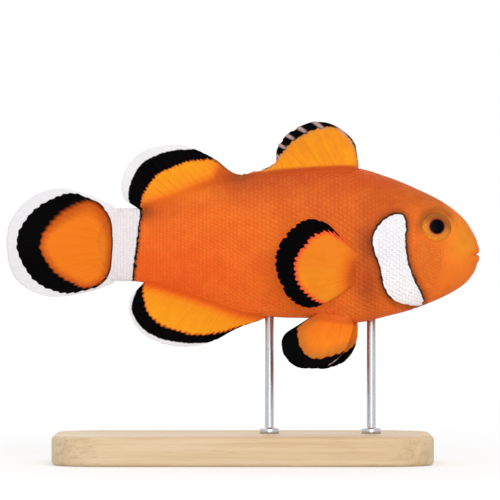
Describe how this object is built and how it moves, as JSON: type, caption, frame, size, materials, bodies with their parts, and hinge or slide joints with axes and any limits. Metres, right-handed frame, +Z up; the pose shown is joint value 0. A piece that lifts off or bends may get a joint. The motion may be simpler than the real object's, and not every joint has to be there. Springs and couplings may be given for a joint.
{
  "type": "clownfish model on a display stand",
  "caption": "Life-size clown anemonefish, orange with a white cheek bar and a white tail band, swimming level on two thin rods over a flat wooden display base.",
  "frame": {"origin": "centre of the underside of the stand's base, which is also the middle of the whole model's floor outline", "axes": "+X towards the fish's snout, +Y to the fish's left, +Z up"},
  "size_m": [0.08, 0.036, 0.0578],
  "materials": {
    "skin": "satin orange fish skin with fine scales",
    "pale_skin": "satin white fish skin with fine scales",
    "fin": "satin rayed fin membrane, yellow-orange with a black margin",
    "eye": "clear gloss over a golden-orange iris and a black pupil",
    "stand_wood": "satin pale maple",
    "stand_steel": "brushed"
  },
  "bodies": {
    "root": {"head": "skin", "upper_jaw": "skin", "lower_jaw": "skin", "gill_cover_right": "skin", "gill_cover_left": "skin", "trunk_front": "skin", "trunk_rear": "skin", "tail_stalk": "pale_skin", "dorsal_fin_spiny": "fin", "dorsal_fin_soft": "fin", "anal_fin": "fin", "caudal_fin": "fin", "pectoral_fin_right": "fin", "pectoral_fin_left": "fin", "pelvic_fin_right": "fin", "pelvic_fin_left": "fin", "eye_right": "eye", "eye_left": "eye", "stand_base": "stand_wood", "stand_rod_front": "stand_steel", "stand_rod_rear": "stand_steel"}
  },
  "joints": []
}
